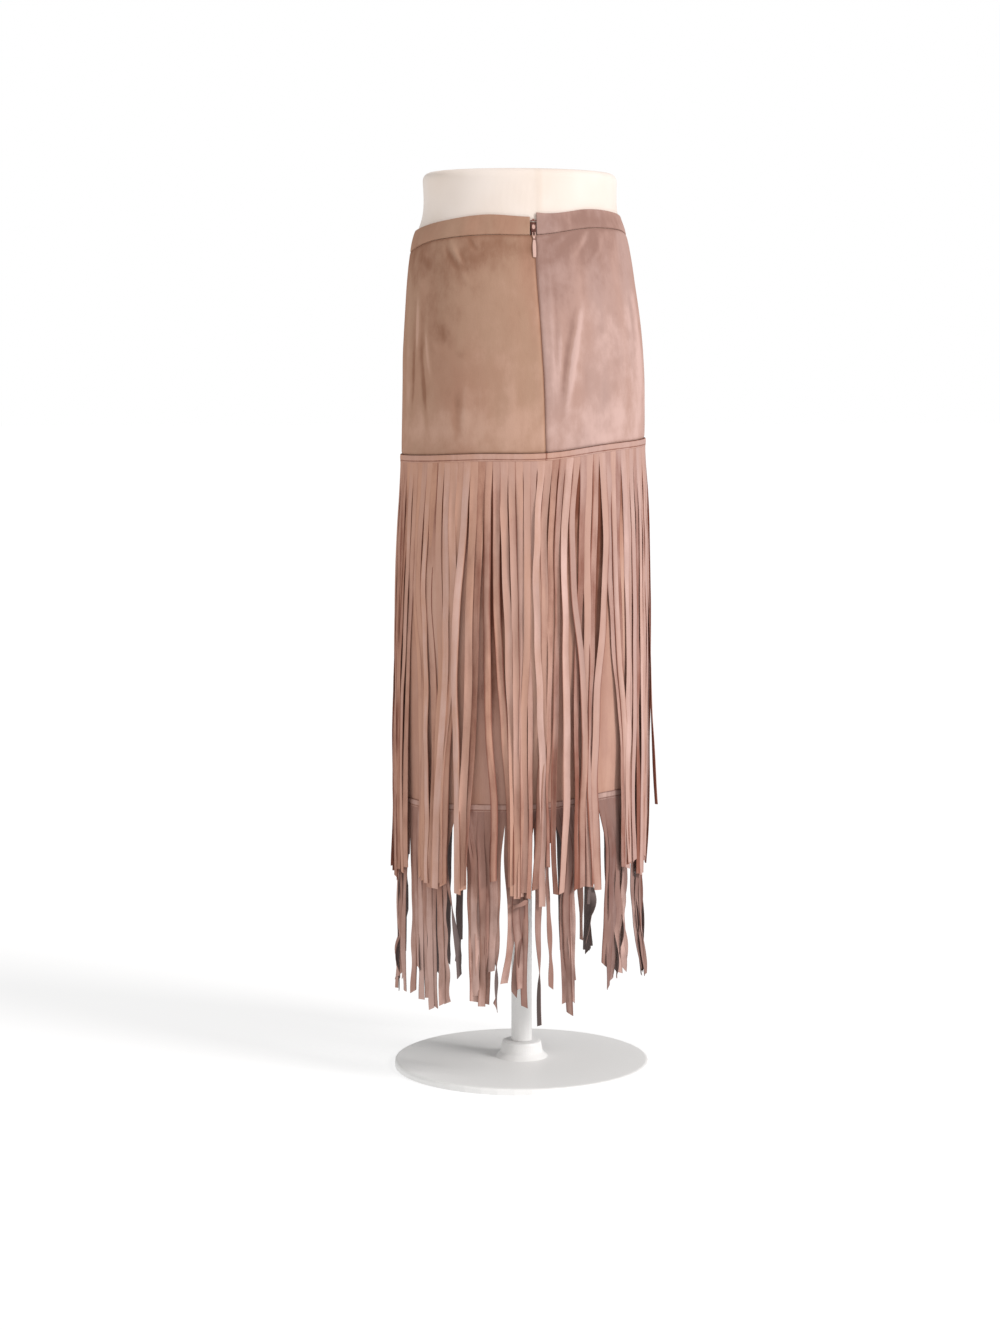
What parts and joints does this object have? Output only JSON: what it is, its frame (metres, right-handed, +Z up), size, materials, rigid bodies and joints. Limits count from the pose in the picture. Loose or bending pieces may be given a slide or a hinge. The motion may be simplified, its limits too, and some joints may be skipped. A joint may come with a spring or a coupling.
{
  "type": "fringe midi skirt on a limbless dress form",
  "caption": "Fitted suede-look skirt with a yoke, a back zip and two long fringe tiers, worn by a limbless dress form on a pole and round base.",
  "frame": {"origin": "centre of the base's flat underside, on the floor", "axes": "+Z up; the skirt's front and the form face -Y, the zip faces +Y; the skirt's left side is +X"},
  "size_m": [0.3161, 0.31, 1.075],
  "materials": {
    "suede": "napped faux suede, tan to pink-brown",
    "zip_tape": "dark woven tape with a nylon coil",
    "zip_metal": "dark bronze lacquer",
    "pull_enamel": "pink-beige enamel",
    "jersey": "cream knitted jersey",
    "stand_paint": "satin off-white paint"
  },
  "bodies": {
    "skirt_on_form": {"waistband_front": "suede", "waistband_back_left": "suede", "waistband_back_right": "suede", "yoke_front": "suede", "yoke_back_left": "suede", "yoke_back_right": "suede", "skirt_front": "suede", "skirt_back": "suede", "fringe_upper_front": "suede", "fringe_upper_back": "suede", "fringe_lower_front": "suede", "fringe_lower_back": "suede", "zip_chain": "zip_tape", "zip_slider": "zip_metal", "hook_and_bar": "zip_metal", "form_torso": "jersey", "form_pole": "stand_paint", "form_base": "stand_paint"},
    "pull_tab": {"zip_pull": "pull_enamel"}
  },
  "joints": [
    {"name": "pull_swing", "type": "hinge", "parent": "skirt_on_form", "child": "pull_tab", "pos_m": [0.008, 0.10199, 1.0005], "axis": [1, 0, 0], "range_deg": [0, 165]}
  ]
}
